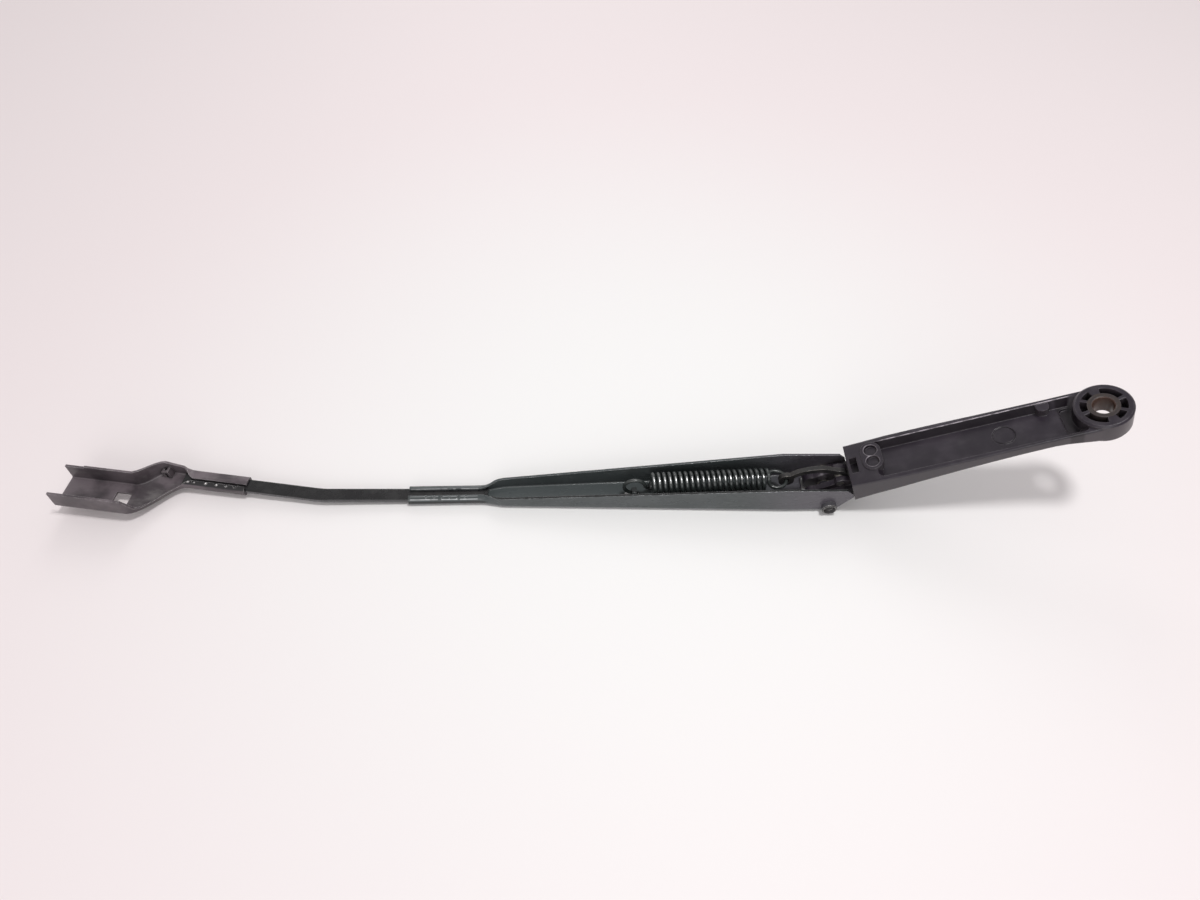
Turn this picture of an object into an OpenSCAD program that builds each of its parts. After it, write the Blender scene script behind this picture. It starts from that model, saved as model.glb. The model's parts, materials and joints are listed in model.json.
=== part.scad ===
// Windscreen wiper arm, lying on its back with its underside up.
// X runs along the arm to the spindle boss, Y away from the viewer, Z up from the table.
// The origin is the middle of the spindle bore's straight part.
// The construction is worked out round the fold pivot and moved there at the end.

/* [Pressed sheet and rod] */
// Thickness of the channel's and blade holder's sheet
sheet_t = 1.25; // [1:0.05:1.5]
// Radius of the sheet's folds, on its middle line
bend_r = 1.5; // [1.3:0.1:1.7]
// Width of the flat rod
rod_w = 7.8; // [7:0.1:9]
// Thickness of the flat rod
rod_t = 3; // [2.4:0.1:3.6]
// Play between the rod and the sheet crimped round it
rod_play = 0.05; // [0.03:0.01:0.1]

/* [Channel] */
// Pivot axis to the end of the crimped sleeve
channel_len = 225.5; // [215:0.5:240]
// Outer width at the pivot end
channel_w = 25; // [24:0.5:27]
// Outer width where the taper runs out into the neck
channel_tip_w = 14.6; // [13.5:0.1:17]
// Height of the walls where the taper starts
channel_h = 18.9; // [18:0.1:20]
// Height of the walls at the ears
ear_h = 17.8; // [17:0.1:18.5]
// Height of the walls at the neck
channel_tip_h = 8.2; // [7.5:0.1:9]
// Pivot axis to the start of the taper
taper_at = 23; // [20:0.5:30]
// Length of the sleeve crimped round the rod
sleeve_len = 38.5; // [34:0.5:44]
// Length of the neck between the sleeve and the taper
neck_len = 15; // [10:0.5:18]
// Distance from the pivot axis to the end of the floor
floor_gap = 11.6; // [11.4:0.1:14]
// Gap between the sleeve's two lips
lip_gap = 4; // [3:0.1:5]

/* [Fold pivot] */
// Height of the pivot axis over the channel's back
pivot_h = 5; // [4.9:0.05:5.4]
// Diameter of the rivet's shank
pivot_d = 5; // [4.6:0.1:5.2]
// Diameter of the rivet's heads
rivet_head_d = 8; // [7.4:0.1:8.6]
// Height of the rivet's heads over the ears
rivet_head_h = 2.9; // [2:0.1:3.2]
// Wall of the bushes that the rivet turns in
bush_wall = 0.9; // [0.7:0.05:1]
// Thickness of the bushes' flanges
bush_flange_t = 0.9; // [0.7:0.05:1.1]
// Running clearance between moving faces
run_gap = 0.12; // [0.08:0.01:0.2]
// Angle between head and arm against the stop
fold_rest = 20; // [16:0.5:22]
// Gap left at the stop between the ears and the head
stop_gap = 0.3; // [0.2:0.05:0.5]

/* [Mounting head] */
// Pivot axis to the spindle axis, along the head
head_len = 138.2; // [130:0.2:150]
// Pivot axis to the head's end face
head_end = 14.2; // [14:0.1:15]
// How far the head stands out past the channel on each side
head_side = 1.5; // [1:0.1:2]
// Width at the boss, which is the boss diameter
boss_d = 27; // [25:0.1:27.5]
// Height of the rim over the pivot axis at the end face
rim_low = 15; // [14.5:0.1:16]
// Height of the rim over the pivot axis next to the boss
rim_high = 17.1; // [16.5:0.1:17.5]
// Height of the boss face over the pivot axis
boss_top = 19.2; // [18.3:0.1:19.5]
// Thickness of the boss
boss_h = 12.9; // [11.5:0.1:13.5]
// Least thickness of the head, midway along it
head_waist = 7; // [6.6:0.1:8]
// Depth of the hollow in the head
hollow_depth = 4.8; // [4:0.1:5.2]
// Width of the rim at the side of the hollow
rim_w = 2.7; // [2.2:0.1:3.4]

/* [Spindle seat] */
// Diameter of the bore's straight part, for an M8 spindle thread
spindle_d = 8.4; // [8.2:0.1:8.8]
// Diameter of the spindle cone at the boss face
cone_d = 9.8; // [9.2:0.1:10.4]
// Length of the bore's straight part
spindle_len = 3; // [2.5:0.1:4]
// Depth of the nut's counterbore on the far side
nut_depth = 3.3; // [2.5:0.1:4]
// Diameter of the nut's counterbore
nut_d = 18; // [17:0.2:19]
// Outer diameter of the hub round the bore
hub_d = 14.6; // [14:0.1:16]
// Outer diameter of the ring of pockets
pocket_d = 21; // [20:0.1:22]
// Depth of the pockets
pocket_depth = 5.5; // [4:0.1:6.5]

/* [Spring and link] */
// Diameter of the spring wire
wire_d = 2.5; // [2.2:0.05:2.8]
// Outer diameter of the coils
spring_d = 13.7; // [12.4:0.1:14]
// Number of turns
turns = 21; // [19:1:22]
// Length of the coiled part as fitted
coil_len = 61; // [60:0.5:64]
// Diameter of the pin that the link hooks over
hook_pin_d = 4; // [3.6:0.1:4.2]
// Thickness of the link plate
link_t = 2.5; // [2:0.1:2.8]
// Width of the link's bar
link_bar = 2.9; // [2.6:0.1:3.1]
// Distance from the hook pin to the spring's eye
link_len = 27.7; // [27:0.1:29]
// Height of the link's arch, on its middle line
link_rise = 6.6; // [6.2:0.1:6.9]

/* [Blade holder] */
// Sleeve end to the place where the rod bends aside
rod_bend_at = 46.5; // [40:0.5:54]
// Angle at which the rod bends aside
rod_bend = 8.5; // [6:0.5:10]
// Angle at which the rod climbs away from the table
rod_climb = 1.5; // [1:0.1:2]
// Bend of the rod to the end of the holder's sleeve
holder_at = 42; // [38:0.5:50]
// Length of the holder's sleeve
holder_sleeve = 30; // [26:0.5:34]
// Length of the jog between the sleeve and the cradle
jog_len = 27; // [25:0.5:32]
// Sideways offset of the cradle from the rod
jog = 17.1; // [15:0.1:19]
// Step of the cradle's floor above the sleeve's
jog_step = 2.2; // [1.6:0.1:2.6]
// Outer width of the cradle
cradle_w = 20.2; // [19:0.1:22]
// Height of the cradle's walls
cradle_h = 11.8; // [11:0.1:13]
// Length of the cradle
cradle_len = 38; // [34:0.5:44]
// Length and width of the button hole in the cradle's floor
button = 7.6; // [6:0.1:8.4]

/* [Hidden] */
$fn = 64;
past = 1;                   // how far a cutter reaches past what it cuts
press = 0.02;               // radial play of a pressed fit
bend_steps = 4;
second_bend = bend_r * PI / 2;
lip_up = 1;                 // length of the open walls' last stretch
head_w = channel_w + 2 * head_side;
ear_in = channel_w / 2 - sheet_t;
sleeve_w = rod_w + 2 * (rod_play + sheet_t);
sleeve_h = rod_t + 2 * (rod_play + sheet_t);
sleeve_wall = sleeve_h - sheet_t - 2 * bend_r;
rod_low = sheet_t + rod_play;
neck_at = channel_len - sleeve_len;
spindle_h = boss_top - boss_h + nut_depth + spindle_len / 2;
spindle_at = [head_len * cos(fold_rest) - spindle_h * sin(fold_rest), 0,
              pivot_h + head_len * sin(fold_rest) + spindle_h * cos(fold_rest)];

function mix(a, b, t) = a + (b - a) * t;
function ease(t) = let(c = min(1, max(0, t))) c * c * (3 - 2 * c);
function unit(v) = v / norm(v);
function reversed(list) = [for (i = [len(list) - 1:-1:0]) list[i]];
function curve2(a, b, c, t) = (1 - t) * (1 - t) * a + 2 * t * (1 - t) * b + t * t * c;
function curve3(a, b, c, d, t) = (1 - t) * curve2(a, b, c, t) + t * curve2(b, c, d, t);

// A skin over rings of equally many points, closed flat at both ends.
// A folded sheet's ring is closed strip by strip, from its outer side to its inner side.
module skin(rings, sheet = false) {
    n = len(rings[0]);
    last = len(rings) - 1;
    points = [for (ring = rings) each ring];
    sides = [for (i = [0:last - 1], k = [0:n - 1])
        let(a = i * n + k, b = i * n + (k + 1) % n) each [[a, b + n, b], [a, a + n, b + n]]];
    caps = sheet ? [for (k = [0:n / 2 - 2]) [k, k + 1, n - 2 - k, n - 1 - k]] : [[for (k = [0:n - 1]) k]];
    ends = concat(caps, [for (cap = caps) [for (k = reversed(cap)) last * n + k]]);
    polyhedron(points, concat(sides, ends), convexity = 8);
}

// Half of a folded sheet's middle line, outwards from the floor's middle,
// as [across, up, heading]: floor, first bend, wall, second bend and lip
function half_fold(floor_half, wall, turn, lip, bent_len = second_bend) =
    let(side = floor_half + bend_r, top = bend_r + wall,
        r = turn > 1 ? bent_len / (turn * PI / 180) : 0,
        bent = [for (i = [1:bend_steps]) let(a = turn * i / bend_steps)
            r > 0 ? [side - r * (1 - cos(a)), top + r * sin(a), 90 + a]
                  : [side, top + bent_len * i / bend_steps, 90]],
        end = bent[bend_steps - 1])
    concat([[0, 0, 0], [floor_half, 0, 0]],
           [for (i = [1:bend_steps]) let(a = 90 * i / bend_steps)
               [floor_half + bend_r * sin(a), bend_r * (1 - cos(a)), a]],
           [[side, top, 90]], bent,
           [[end[0] + lip * cos(end[2]), end[1] + lip * sin(end[2]), end[2]]]);

// The whole outline of a folded sheet, from a near half and a far half
function fold_outline(near, far) =
    let(line = concat([for (p = reversed(near)) [-p[0], p[1], -p[2]]], [for (i = [1:len(far) - 1]) far[i]]),
        outer = [for (p = line) [p[0] + sheet_t / 2 * sin(p[2]), p[1] - sheet_t / 2 * cos(p[2])]],
        inner = [for (p = line) [p[0] - sheet_t / 2 * sin(p[2]), p[1] + sheet_t / 2 * cos(p[2])]])
    concat(outer, reversed(inner));

// Straight part of an open wall of a given outer height
function open_wall(height) = height - sheet_t / 2 - bend_r - second_bend - lip_up;

// A ring of the channel: place, half outer width, wall, turn of the lip, and lip
function channel_ring(x, half_w, wall, turn, lip) =
    let(half = half_fold(half_w - sheet_t / 2 - bend_r, wall, turn, lip))
    [for (p = fold_outline(half, half)) [x, p[0], p[1] + sheet_t / 2]];

module channel_skin() {
    sleeve_lip = sleeve_w / 2 - sheet_t / 2 - bend_r - lip_gap / 2;
    neck_steps = 6;
    ear_end = head_end + 4;
    skin(concat(
        [channel_ring(-channel_len, sleeve_w / 2, sleeve_wall, 90, sleeve_lip)],
        [for (i = [0:neck_steps]) let(t = i / neck_steps, s = ease(t))
            channel_ring(-neck_at + neck_len * t, mix(sleeve_w, channel_tip_w, s) / 2,
                         mix(sleeve_wall, open_wall(channel_tip_h), s), 90 * (1 - ease(1.6 * t)),
                         mix(sleeve_lip, lip_up, s))],
        [channel_ring(-taper_at, channel_w / 2, open_wall(channel_h), 0, lip_up),
         channel_ring(0, channel_w / 2, open_wall(mix(channel_h, ear_h, 0.5)), 0, lip_up),
         channel_ring(ear_end, channel_w / 2, open_wall(ear_h), 0, lip_up)]), sheet = true);
}

// Side view of an ear, with its stop edge parallel to the head's end face
module ear_side() {
    stop = head_end - stop_gap;
    function on_stop(z) = [(stop - (z - pivot_h) * sin(fold_rest)) / cos(fold_rest), z];
    corner_low = on_stop(pivot_h + 7.8);
    corner_high = on_stop(ear_h - 2.6);
    polygon([[-2 * floor_gap, -past], [-2 * floor_gap, channel_h + past], [8, channel_h + past],
             [8, ear_h], corner_high, corner_low, [0, pivot_h], [0, -past]]);
    hull() {
        translate([0, pivot_h]) circle(pivot_h - 0.2);
        translate(corner_low) circle(0.01, $fn = 8);
    }
}

// A slot with round ends through the floor, along the arm
module floor_slot(from, to, width) {
    for (x = [from + width / 2, to - width / 2])
        translate([x, 0, -past]) cylinder(d = width, h = sheet_t + 2 * past);
    translate([from + width / 2, -width / 2, -past])
        cube([to - from - width, width, sheet_t + 2 * past]);
}

// The bridge pressed up out of the floor, which the spring hooks under
bridge_x = -104.8;
bridge_wide = 2.6;
bridge_top = 5.2;
slot_w = 4;
module bridge() {
    foot = slot_w / 2 + 1.5;
    crown = slot_w / 2 - 0.1;
    translate([bridge_x, 0, 0]) rotate([90, 0, 90]) linear_extrude(bridge_wide)
        polygon([[-foot, 0.2], [-foot, sheet_t], [-crown, bridge_top], [crown, bridge_top], [foot, sheet_t],
                 [foot, 0.2], [foot - sheet_t, 0.2], [crown - sheet_t / 3, bridge_top - sheet_t],
                 [-crown + sheet_t / 3, bridge_top - sheet_t], [-foot + sheet_t, 0.2]]);
}

// The marks that the crimping tool leaves along the sleeve's near lip
module crimp_marks() {
    pitch = 4.2;
    for (i = [0:5])
        translate([10 + pitch * i - channel_len, -lip_gap / 2 - 1.5, sleeve_h + 0.5])
            rotate([0, 0, 20]) rotate([90, 0, 0]) cylinder(d = 1.8, h = 2.4, center = true);
}

module channel() color([0.11, 0.12, 0.12]) seated() {
    difference() {
        channel_skin();
        // The ears' outline
        rotate([90, 0, 0]) linear_extrude(channel_w + 2 * past, center = true)
            difference() {
                translate([-2 * floor_gap, -2 * past]) square([4 * floor_gap, 2 * channel_h]);
                ear_side();
            }
        // The floor ends short of the pivot, in round corners
        translate([0, 0, -past]) {
            corner = 5;
            for (side = [-1, 1])
                translate([corner - floor_gap, side * (ear_in - corner), 0])
                    cylinder(r = corner, h = bend_r + sheet_t + past);
            translate([-floor_gap, corner - ear_in, 0])
                cube([3 * floor_gap, 2 * (ear_in - corner), bend_r + sheet_t + past]);
            translate([corner - floor_gap, -ear_in, 0])
                cube([3 * floor_gap, 2 * ear_in, bend_r + sheet_t + past]);
        }
        translate([0, 0, pivot_h]) rotate([90, 0, 0])
            cylinder(d = pivot_d + 2 * press, h = channel_w + 2 * past, center = true);
        floor_slot(bridge_x - 4.4, bridge_x + bridge_wide + 1.6, slot_w);
        crimp_marks();
    }
    bridge();
}

// Height of the slope at a distance past the sleeve
function climb(x) = rod_climb * PI / 180 * x;

// Middle line of the rod, as [point, angle aside], past the sleeve's end by a length
function rod_at(l) =
    let(r = 60, arc = r * rod_bend * PI / 180, start = rod_bend_at - arc / 2,
        turned = min(arc, max(0, l - start)) / r * 180 / PI,
        on = min(l, start), off = max(0, l - start - arc),
        x = on + r * sin(turned) + off * cos(rod_bend),
        y = r * (1 - cos(turned)) + off * sin(rod_bend))
    [[-channel_len - x, y, rod_low + rod_t / 2 + climb(max(0, l))], turned];

function rod_ring(l, lean) =
    let(at = rod_at(l), r = 0.9, w = rod_w / 2 - r, h = rod_t / 2 - r, steps = 4,
        side = [sin(at[1]), cos(at[1]), 0])
    [for (corner = [[-1, -1, 180], [1, -1, 270], [1, 1, 0], [-1, 1, 90]], i = [0:steps])
        let(a = corner[2] + 90 * i / steps,
            across = corner[0] * w + r * cos(a), up = corner[1] * h + r * sin(a))
        at[0] + across * side + [up * tan(lean), 0, up]];

module rod() color([0.08, 0.08, 0.085]) seated()
    skin(reversed(concat([rod_ring(-sleeve_len - 4, 0), rod_ring(0.4, 0)],
        [for (l = [2, each [rod_bend_at - 5:1.25:rod_bend_at + 5], rod_bend_at + holder_stop + 5])
            rod_ring(l, rod_climb)])));

// Moves what is drawn along the holder's own line to the bent rod
module on_rod() {
    bend_point = [-channel_len - rod_bend_at, 0, rod_low - sheet_t - rod_play + climb(rod_bend_at)];
    translate(bend_point) rotate([0, 0, 180 - rod_bend]) rotate([0, -rod_climb, 0]) mirror([0, 1, 0])
        children();
}

// A ring of the holder at a distance along it. Its near edge jogs before its far edge.
holder_stop = holder_at + holder_sleeve;
cradle_at = holder_stop + jog_len;
function near_edge(s) = mix(sleeve_w / 2, jog + cradle_w / 2, ease((s - holder_stop - 3) / (jog_len - 3)));
function far_edge(s) = mix(sleeve_w / 2, cradle_w / 2 - jog, ease((s - holder_stop - 15) / (jog_len - 13)));
function near_wall(s) =
    s < cradle_at - 6 ? mix(sleeve_wall, 0.3, ease((s - holder_stop) / 8))
                      : mix(0.3, open_wall(cradle_h), ease((s - cradle_at + 6) / 5));
// The near edge runs low between the sleeve and the cradle
function near_low(s) = ease((s - holder_stop) / 8) * (1 - ease((s - cradle_at + 6) / 5));
function far_wall(s) = mix(sleeve_wall, open_wall(cradle_h), ease((s - holder_stop) / (jog_len + 2)));
function holder_ring(s) =
    let(n = near_edge(s), f = far_edge(s), mid = (f - n) / 2,
        floor_half = (n + f) / 2 - sheet_t / 2 - bend_r,
        opening = ease((s - holder_stop) / 7),
        near = half_fold(floor_half, near_wall(s), 66 * (1 - opening), mix(0.9, lip_up, opening) - 0.8 * near_low(s),
                         second_bend * (1 - 0.8 * near_low(s))),
        far = half_fold(floor_half, far_wall(s), 90 * (1 - opening), mix(4.1, lip_up, opening)),
        up = sheet_t / 2 + jog_step * ease(((s - holder_stop) / jog_len - 0.45) / 0.62))
    [for (p = fold_outline(near, far)) [s, p[0] + mid, p[1] + up]];

module blade_holder() color([0.17, 0.16, 0.15]) seated() on_rod() {
    difference() {
        skin([for (s = [holder_at, holder_stop, each [holder_stop + 2:2:cradle_at + 2],
                        cradle_at + cradle_len]) holder_ring(s)], sheet = true);
        // The stake marks along the sleeve's near lip
        for (x = [5, 10, 15.5, 21.5, 28, 31.5])
            translate([holder_at + x, -lip_gap / 2 - 1.2, sleeve_h + 0.45]) sphere(r = 1.1, $fn = 24);
        // The far wall steps down near its end
        translate([cradle_at + 0.72 * cradle_len, cradle_w / 2 - jog - 2 * sheet_t, jog_step + cradle_h - 0.9])
            cube([cradle_len, 3 * sheet_t, 3]);
        // The button hole in the cradle's floor
        translate([cradle_at + 1.5, -jog - button / 2 - 0.9, 0])
            cube([button + 0.9, button, jog_step + sheet_t + past]);
    }
    // The C-shaped tab turned up in line with the rod
    tab_x = holder_stop + 13;
    translate([tab_x, 2.4, sheet_t / 2]) rotate([0, 10, 0]) {
        translate([0, -2.4, 0]) cube([sheet_t, 5.2, 6.2]);
        for (y = [-2.4, 1.6])
            translate([0, y, 5]) cube([3.6, sheet_t, sheet_t]);
        translate([2.6, -2.4, 0]) cube([sheet_t, 2.6, 6.2]);
    }
}

// Puts what is drawn round the pivot in the head's own frame
module tilted() translate([0, 0, pivot_h]) rotate([0, -fold_rest, 0]) children();

// Puts the origin in the spindle bore
module seated() translate(-spindle_at) children();

// Half widths of the head, its underside and its rim, at a distance along it
function head_half(x) =
    mix(mix(head_w - 1.6, head_w, ease((x - head_end) / 25)), boss_d - 1, ease((x - 45) / 75)) / 2;
function rim_at(x) = mix(rim_low, rim_high, (x - head_end) / (head_len - boss_d / 2 - 5 - head_end));
head_low = [[head_end, 0], [55, rim_high - head_waist - 1.5], [112, rim_high - head_waist]];
boss_low = [[112, rim_high - head_waist], [121, rim_high - head_waist + 0.2],
            [128, boss_top - boss_h + 0.6], [head_len, boss_top - boss_h]];

function head_ring(p) =
    let(half = head_half(p[0]), low_r = 2.4, top_r = 0.8, steps = 4, z0 = p[1], z1 = rim_at(p[0]))
    [for (c = [[-1, 0, 180], [1, 0, 270], [1, 1, 0], [-1, 1, 90]], i = [0:steps])
        let(a = c[2] + 90 * i / steps, r = c[1] == 0 ? low_r : top_r)
        [p[0], c[0] * (half - r) + r * cos(a), (c[1] == 0 ? z0 + r : z1 - r) + r * sin(a)]];

// A pit with sloping sides, given by its floor and its mouth
module pit(from, to, half_floor, slope, depth) {
    function pit_ring(z, grow) =
        let(r = 2.5, steps = 4, x0 = from - grow + r, x1 = to + grow - r, y = half_floor + grow - r)
        [for (c = [[x0, -y, 180], [x1, -y, 270], [x1, y, 0], [x0, y, 90]], i = [0:steps])
            let(a = c[2] + 90 * i / steps) [c[0] + r * cos(a), c[1] + r * sin(a), z]];
    skin([pit_ring(-depth, 0), pit_ring(past, slope * (1 + past / depth))]);
}

module boss_blank() {
    edge = 0.9;
    translate([head_len, 0, 0]) rotate_extrude()
        polygon([[0, boss_top - boss_h], [boss_d / 2 - 2, boss_top - boss_h],
                 [boss_d / 2 - 0.6, boss_top - boss_h + 0.6], [boss_d / 2, boss_top - boss_h + 2],
                 [boss_d / 2, boss_top - edge], [boss_d / 2 - edge, boss_top], [0, boss_top]]);
}

module spindle_bore() {
    seat = spindle_h - spindle_len / 2;
    hub_slope = 0.4;
    translate([head_len, 0, 0]) {
        translate([0, 0, seat - past]) cylinder(d = spindle_d, h = spindle_len + past);
        translate([0, 0, seat - nut_depth - past]) cylinder(d = nut_d, h = nut_depth + past);
        rotate_extrude() polygon([[0, seat + spindle_len], [spindle_d / 2, seat + spindle_len],
                                  [cone_d / 2, boss_top - hub_slope], [cone_d / 2 + hub_slope, boss_top],
                                  [cone_d / 2 + hub_slope, boss_top + past], [0, boss_top + past]]);
    }
}

// The six pockets between the hub and the boss's outer wall, as [first angle, sweep]
module pockets() {
    for (p = [[20, 64], [112, 30], [152, 36], [200, 64], [292, 30], [332, 36]])
        translate([head_len, 0, boss_top - pocket_depth]) rotate([0, 0, p[0]])
            rotate_extrude(angle = p[1])
                translate([hub_d / 2, 0]) square([(pocket_d - hub_d) / 2, pocket_depth + past]);
}

// The pin's place in the head's frame
hook_pin = [8.6, 8.15];

// Half width of the slot that the link swings in
slot_half = link_t / 2 + 1.1;

// The tongue between the ears: hub, nose, web and the two cheeks that carry the hook pin
module tongue() {
    hub_r = pivot_h - 0.2;
    nose = [-6.55, 3.05];
    nose_r = 4.4;
    half = ear_in - bush_flange_t - 2 * run_gap;
    nose_half = half - 1.5;
    cheek = half - 4.5;
    root = head_end + 1;
    side = [nose[1], -nose[0]] / norm(nose);
    inset = 0.15;
    hub_in = hub_r - inset;
    nose_in = nose_r - inset;
    rotate([90, 0, 0]) cylinder(r = hub_r, h = 2 * half, center = true);
    rotate([90, 0, 0]) linear_extrude(2 * half, center = true)
        polygon([[0, -hub_in], [root, 0.6], [root, 5.4], [3.2, 5.4], [0, hub_in]]);
    translate([nose[0], 0, nose[1]]) rotate([90, 0, 0]) cylinder(r = nose_r, h = 2 * nose_half, center = true);
    rotate([90, 0, 0]) linear_extrude(2 * nose_half, center = true)
        polygon([nose + nose_in * side, hub_in * side, -hub_in * side, nose - nose_in * side]);
    rotate([90, 0, 0]) linear_extrude(2 * cheek, center = true)
        polygon([nose + nose_in * side, hook_pin + [-3, 0.6], hook_pin + [-1.4, 2.5], hook_pin + [1.3, 2.5],
                 [root, hook_pin[1] + 0.4], [root, 0.6], [0, 0]]);
}

module mounting_head() color([0.1, 0.095, 0.105]) seated() tilted() {
    slope = 2.4;
    pad_at = [27.3, 2.6];
    pad_half = 3.5;
    lug_at = head_len - 25.2;
    mark_at = head_len * 2 / 3;
    rise = atan((rim_high - rim_low) / (head_len - boss_d / 2 - 5 - head_end));
    hollow_from = 31;
    hollow_to = head_len - boss_d / 2 + 1.8;
    difference() {
        union() {
            difference() {
                skin(concat([for (t = [0:0.125:1]) head_ring(curve2(head_low[0], head_low[1], head_low[2], t))],
                    [for (t = [0.25:0.25:1]) head_ring(curve3(boss_low[0], boss_low[1], boss_low[2], boss_low[3], t))]));
                // The hollow follows the rim, and drops further next to the boss
                translate([0, 0, rim_at(0)]) rotate([0, -rise, 0])
                    pit(hollow_from, hollow_to, head_w / 2 - rim_w - slope, slope, hollow_depth);
                translate([0, 0, rim_at(0)]) rotate([0, -rise, 0])
                    pit(hollow_to - 6.5, hollow_to, boss_d / 2 - rim_w - slope - 1, slope, hollow_depth + 1);
            }
            boss_blank();
            tongue();
            // The pad with its two ejector marks, and the lug on the hollow's far wall
            translate([pad_at[0], pad_at[1], rim_at(pad_at[0]) - hollow_depth - 1]) {
                for (y = [-pad_half, pad_half])
                    translate([0, y, 0]) cylinder(r = 5.2, h = hollow_depth + 1.6);
                translate([-5.2, -pad_half, 0]) cube([10.4, 2 * pad_half, hollow_depth + 1.6]);
            }
            translate([lug_at, 9.4, rim_at(lug_at) - hollow_depth - 1]) {
                cylinder(r = 3.1, h = hollow_depth + 0.4);
                translate([-3.1, 0, 0]) cube([6.2, 3.5, hollow_depth + 0.4]);
            }
        }
        for (y = [-pad_half, pad_half])
            translate([pad_at[0], pad_at[1] + y, rim_at(pad_at[0]) - 0.9]) cylinder(r1 = 3, r2 = 3.6, h = 2);
        spindle_bore();
        pockets();
        // The slot that the link swings in, and the window behind it
        translate([-2 * head_end, -slot_half, -head_end])
            cube([3 * head_end + 0.8, 2 * slot_half, head_end + rim_low - 2.5]);
        translate([head_end + 1.5, -5.4, rim_low - 5]) cube([3.7, 9.6, 8]);
        // The bores for the bushes and the pressed pin
        rotate([90, 0, 0]) cylinder(d = pivot_d + 2 * (run_gap / 2 + bush_wall + press), h = channel_w, center = true);
        translate([hook_pin[0], 0, hook_pin[1]]) rotate([90, 0, 0])
            cylinder(d = hook_pin_d + 2 * press, h = channel_w, center = true);
        // A shallow ring cast in the hollow's floor
        translate([mark_at, 0, rim_at(mark_at) - hollow_depth - 0.35]) difference() {
            cylinder(r = 5.6, h = 2);
            cylinder(r = 4.9, h = 2);
        }
    }
}

module spring_pin() color([0.45, 0.45, 0.44]) seated() tilted()
    translate([hook_pin[0], 0, hook_pin[1]]) rotate([90, 0, 0])
        cylinder(d = hook_pin_d, h = 10.6, center = true);

// A flanged bush in the head's hub, on the side given as -1 for near or 1 for far
module pivot_bush(side) {
    flange_in = ear_in - bush_flange_t - run_gap;
    bore_r = pivot_d / 2 + run_gap / 2;
    seated() translate([0, 0, pivot_h]) rotate([-90 * side, 0, 0]) difference() {
        union() {
            translate([0, 0, slot_half]) cylinder(r = bore_r + bush_wall, h = flange_in - slot_half);
            translate([0, 0, flange_in]) cylinder(r = pivot_h - 0.4, h = bush_flange_t);
        }
        cylinder(r = bore_r, h = channel_w);
    }
}
module pivot_bush_near() color([0.75, 0.74, 0.7]) pivot_bush(-1);
module pivot_bush_far() color([0.75, 0.74, 0.7]) pivot_bush(1);

// The rivet, with a dished head on each ear
module pivot_pin() color([0.16, 0.15, 0.15]) seated() translate([0, 0, pivot_h]) rotate([90, 0, 0]) {
    dish = 1.7;
    half = channel_w / 2;
    difference() {
        union() {
            cylinder(d = pivot_d, h = channel_w, center = true);
            for (side = [0, 1]) mirror([0, 0, side]) translate([0, 0, half]) {
                cylinder(d = rivet_head_d, h = rivet_head_h - 0.5);
                translate([0, 0, rivet_head_h - 0.5])
                    cylinder(d1 = rivet_head_d, d2 = rivet_head_d - 1, h = 0.5);
            }
        }
        for (side = [0, 1]) mirror([0, 0, side]) translate([0, 0, half + rivet_head_h - dish])
            cylinder(d1 = rivet_head_d - 3.6, d2 = rivet_head_d - 1.4, h = dish + 0.01);
    }
}

// Where the pin and the spring's eye lie, seen from the side
pin_at = [hook_pin[0] * cos(fold_rest) - hook_pin[1] * sin(fold_rest),
          pivot_h + hook_pin[0] * sin(fold_rest) + hook_pin[1] * cos(fold_rest)];
link_tilt = 5.6;
eye_at = pin_at - link_len * [cos(link_tilt), sin(link_tilt)];

// The lobe round the eye, and the way that the bar runs into it
lobe_r = 4.2;
eye_turn = 180 + 42;
eye_way = [cos(eye_turn), sin(eye_turn)];
eye_end = [-link_len, 0] - sqrt(lobe_r * lobe_r - link_bar * link_bar / 4) * eye_way;

// The link's middle line, from its hook under the pin, over the arch, to the eye
function link_line() =
    let(r = (hook_pin_d + link_bar) / 2 + 0.15, steps = 10)
    concat([for (i = [0:steps]) let(a = mix(-65, 90, i / steps)) r * [cos(a), sin(a)]],
           [for (i = [1:steps]) curve3([0, r], [-3, r], [-5, link_rise], [-11, link_rise], i / steps)],
           [for (i = [1:steps]) curve3([-11, link_rise], [-17, link_rise], eye_end - 4 * eye_way, eye_end, i / steps)]);

module link_side() {
    line = link_line();
    n = len(line);
    half = link_bar / 2;
    ways = [for (i = [0:n - 1]) unit(line[min(n - 1, i + 1)] - line[max(0, i - 1)])];
    beta = asin(half / lobe_r);
    start = atan2(ways[0][1], ways[0][0]);
    polygon(concat([for (i = [0:n - 2]) line[i] + half * [-ways[i][1], ways[i][0]]],
        [for (i = [0:16]) let(a = mix(eye_turn + 180 - beta, eye_turn - 180 + beta, i / 16))
            [-link_len, 0] + lobe_r * [cos(a), sin(a)]],
        [for (i = [n - 2:-1:0]) line[i] - half * [-ways[i][1], ways[i][0]]],
        [for (i = [1:7]) let(a = start - 90 - 180 * i / 8) line[0] + half * [cos(a), sin(a)]]));
}

module spring_link() color([0.2, 0.2, 0.2]) seated()
    translate([pin_at[0], 0, pin_at[1]]) rotate([0, -link_tilt, 0]) rotate([90, 0, 0]) difference() {
        linear_extrude(link_t, center = true) link_side();
        translate([-link_len, 0, 0]) cylinder(d = wire_d + 1.1, h = 2 * link_t, center = true);
    }

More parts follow.
